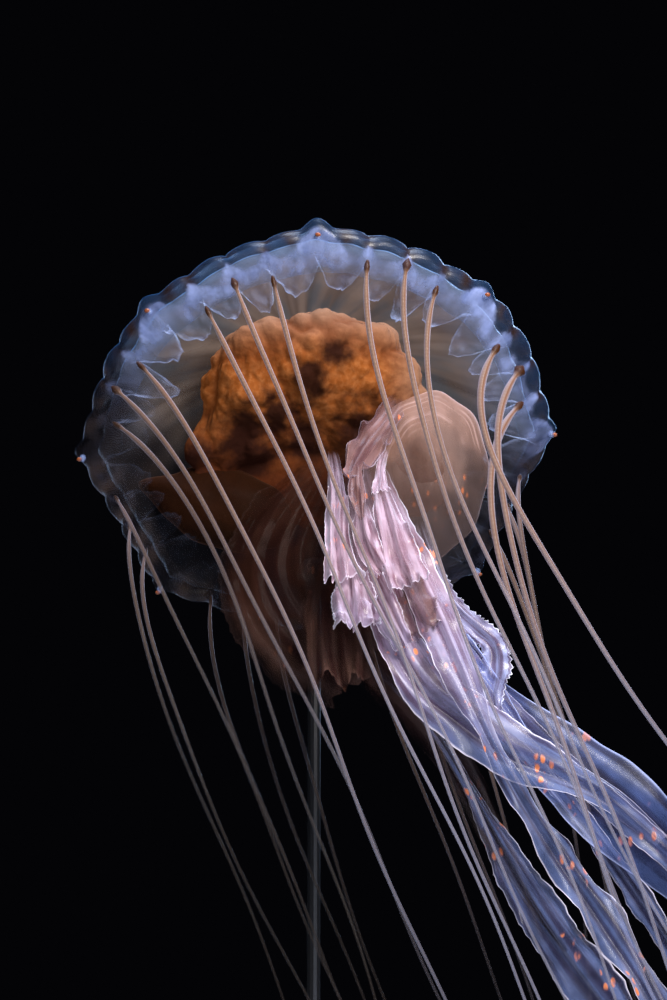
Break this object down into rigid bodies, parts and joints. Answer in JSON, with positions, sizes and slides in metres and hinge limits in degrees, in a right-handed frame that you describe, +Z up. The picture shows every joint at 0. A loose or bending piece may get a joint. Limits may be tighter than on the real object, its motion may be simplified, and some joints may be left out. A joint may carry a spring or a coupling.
{
  "type": "jellyfish model on stand",
  "caption": "Life-size display model of a sea nettle jellyfish swimming up and away, with ruffled mouth arms and long thin tentacles, held by a rod on a round flat base.",
  "frame": {"origin": "middle of the stand base's underside", "axes": "+Z up; the open side of the bell looks towards -Y and down, and the arms and tentacles trail down and towards +X"},
  "size_m": [0.3536, 0.2309, 0.5676],
  "materials": {
    "bell": "wet, clear blue-grey jelly with faint brown rays",
    "gonads": "wet, folded orange-brown tissue",
    "arms": "wet, thin pink-white and pale blue frills",
    "tentacles": "wet, pale beige with a brown line",
    "stand": "satin black"
  },
  "bodies": {
    "root": {"bell": "bell", "gonads": "gonads", "tentacle_01_upper": "tentacles", "tentacle_01_lower": "tentacles", "tentacle_02_upper": "tentacles", "tentacle_02_lower": "tentacles", "tentacle_03_upper": "tentacles", "tentacle_03_lower": "tentacles", "tentacle_04_upper": "tentacles", "tentacle_04_lower": "tentacles", "tentacle_05_upper": "tentacles", "tentacle_05_lower": "tentacles", "tentacle_06_upper": "tentacles", "tentacle_06_lower": "tentacles", "tentacle_07_upper": "tentacles", "tentacle_07_lower": "tentacles", "tentacle_08_upper": "tentacles", "tentacle_08_lower": "tentacles", "tentacle_09_upper": "tentacles", "tentacle_09_lower": "tentacles", "tentacle_10_upper": "tentacles", "tentacle_10_lower": "tentacles", "tentacle_11_upper": "tentacles", "tentacle_11_lower": "tentacles", "tentacle_12_upper": "tentacles", "tentacle_12_lower": "tentacles", "tentacle_13_upper": "tentacles", "tentacle_13_lower": "tentacles", "tentacle_14_upper": "tentacles", "tentacle_14_lower": "tentacles", "tentacle_15_upper": "tentacles", "tentacle_15_lower": "tentacles", "tentacle_16_upper": "tentacles", "tentacle_16_lower": "tentacles", "tentacle_17_upper": "tentacles", "tentacle_17_lower": "tentacles", "tentacle_18_upper": "tentacles", "tentacle_18_lower": "tentacles", "tentacle_19_upper": "tentacles", "tentacle_19_lower": "tentacles", "tentacle_20_upper": "tentacles", "tentacle_20_lower": "tentacles", "tentacle_21_upper": "tentacles", "tentacle_21_lower": "tentacles", "tentacle_22_upper": "tentacles", "tentacle_22_lower": "tentacles", "tentacle_23_upper": "tentacles", "tentacle_23_lower": "tentacles", "tentacle_24_upper": "tentacles", "tentacle_24_lower": "tentacles", "arm_near_upper": "arms", "arm_near_lower": "arms", "arm_right_upper": "arms", "arm_right_lower": "arms", "arm_far_upper": "arms", "arm_far_lower": "arms", "arm_left_upper": "arms", "arm_left_lower": "arms", "stand_base": "stand", "stand_rod": "stand"}
  },
  "joints": []
}
